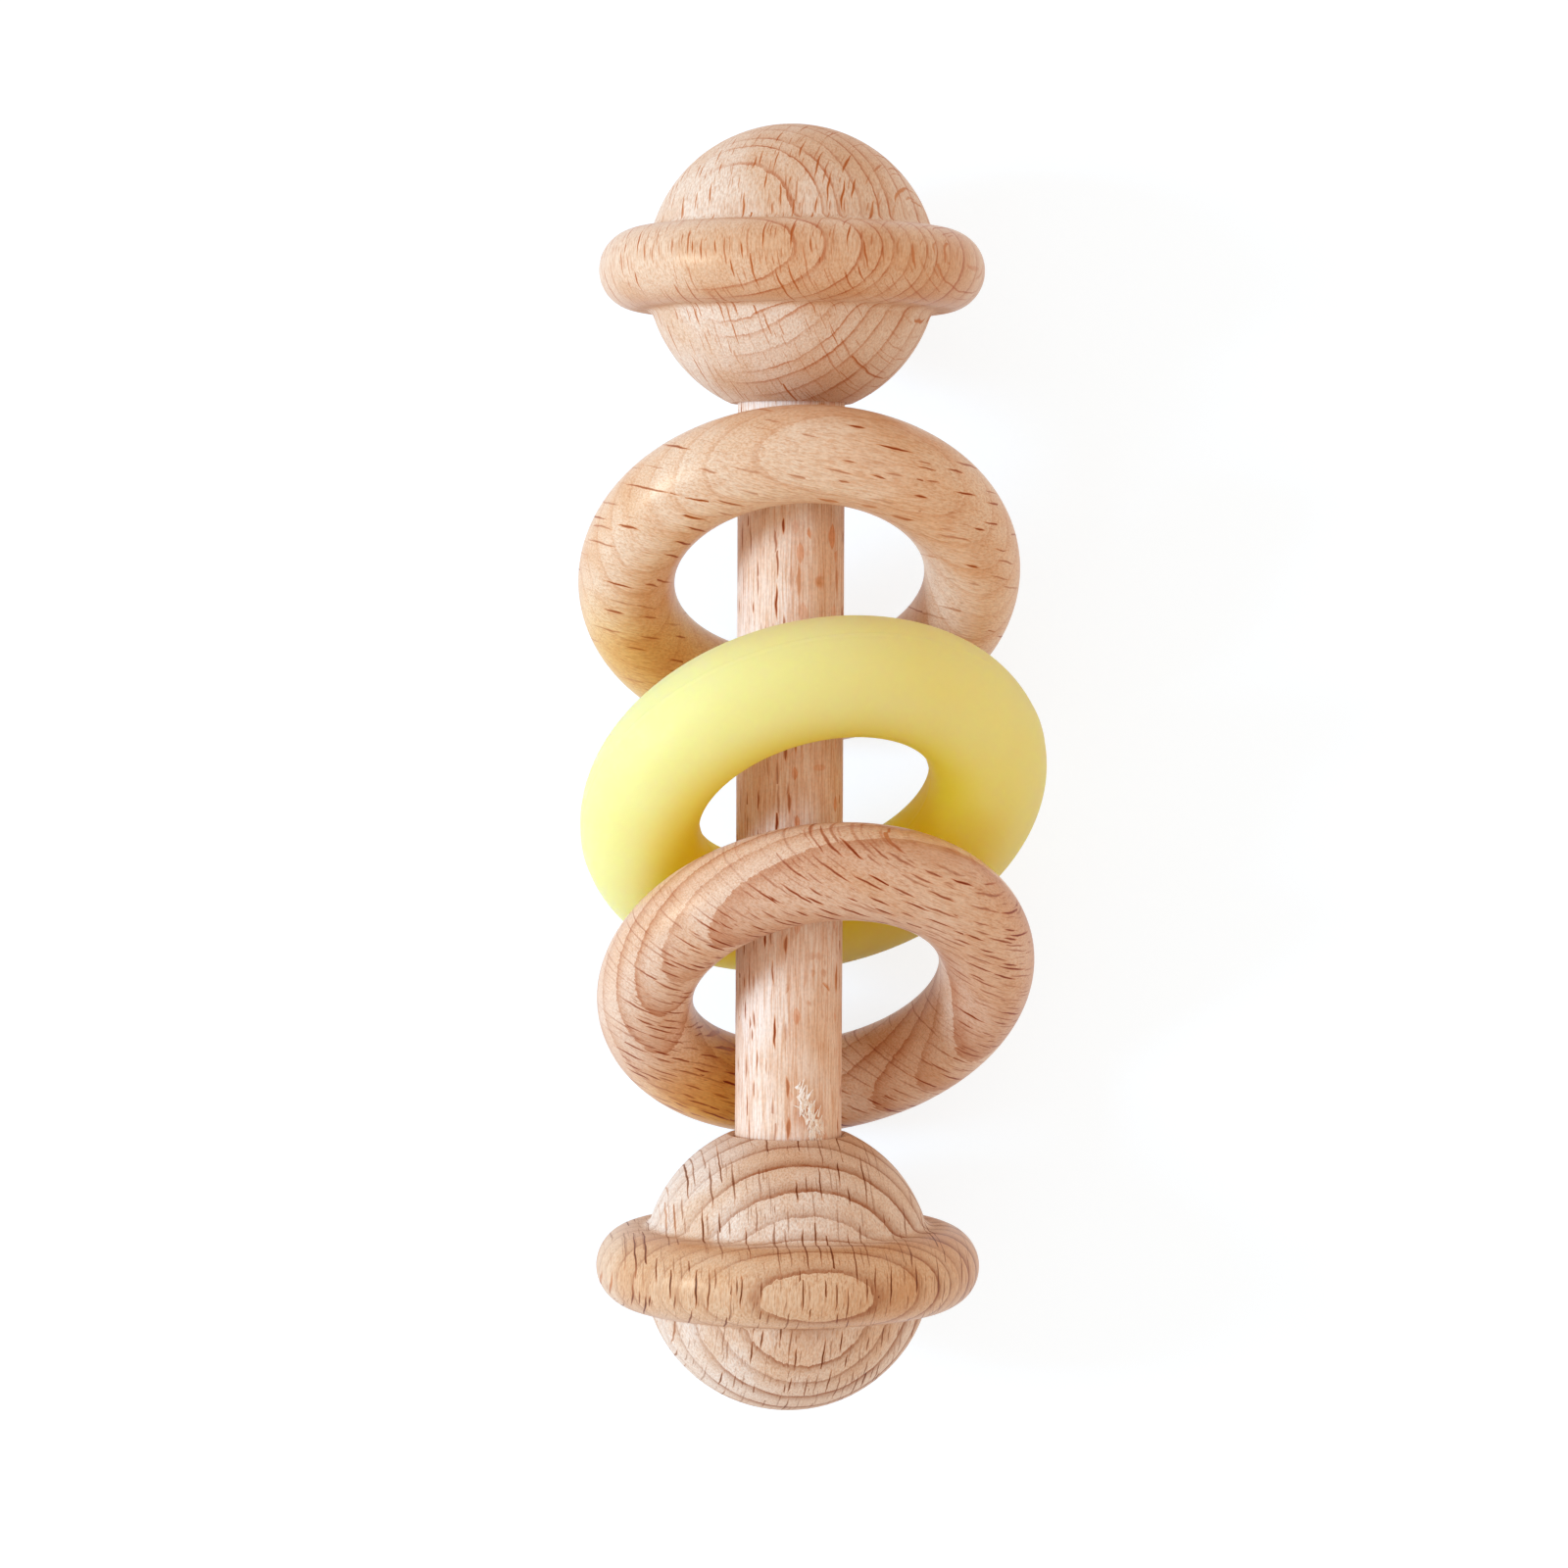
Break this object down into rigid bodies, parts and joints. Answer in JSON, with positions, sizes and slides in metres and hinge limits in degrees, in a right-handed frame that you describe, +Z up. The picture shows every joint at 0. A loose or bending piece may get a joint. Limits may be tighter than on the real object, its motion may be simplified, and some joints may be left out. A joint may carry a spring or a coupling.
{
  "type": "ring rattle",
  "caption": "Beech dowel with a turned, rimmed ball on each end and loose wooden and silicone rings that slide and clack along it; a grasping rattle for a baby.",
  "frame": {"origin": "on the table, under the middle of the dowel, with the rattle lying down", "axes": "+Y along the dowel towards the upper bead, +Z up from the table, +X to the right seen from above"},
  "size_m": [0.0527, 0.1436, 0.0431],
  "materials": {
    "dowel_beech": "sanded and oiled beech rod, satin",
    "bead_beech": "turned, sanded and oiled beech, satin",
    "ring_beech": "turned, sanded and oiled beech, satin",
    "silicone": "moulded silicone, matte"
  },
  "bodies": {
    "handle": {"dowel": "dowel_beech", "upper_bead": "bead_beech", "lower_bead": "bead_beech"},
    "upper_ring": {"upper_ring": "ring_beech"},
    "silicone_ring": {"silicone_ring": "silicone"},
    "lower_ring": {"lower_ring": "ring_beech"}
  },
  "joints": [
    {"name": "upper_ring_slide", "type": "slide", "parent": "handle", "child": "upper_ring", "axis": [0, 1, 0], "range_m": [-0.0027, 0.0022]},
    {"name": "silicone_ring_slide", "type": "slide", "parent": "handle", "child": "silicone_ring", "axis": [0, 1, 0], "range_m": [0, 0.0027]},
    {"name": "lower_ring_slide", "type": "slide", "parent": "handle", "child": "lower_ring", "axis": [0, 1, 0], "range_m": [-0.0024, 0.0002]}
  ]
}
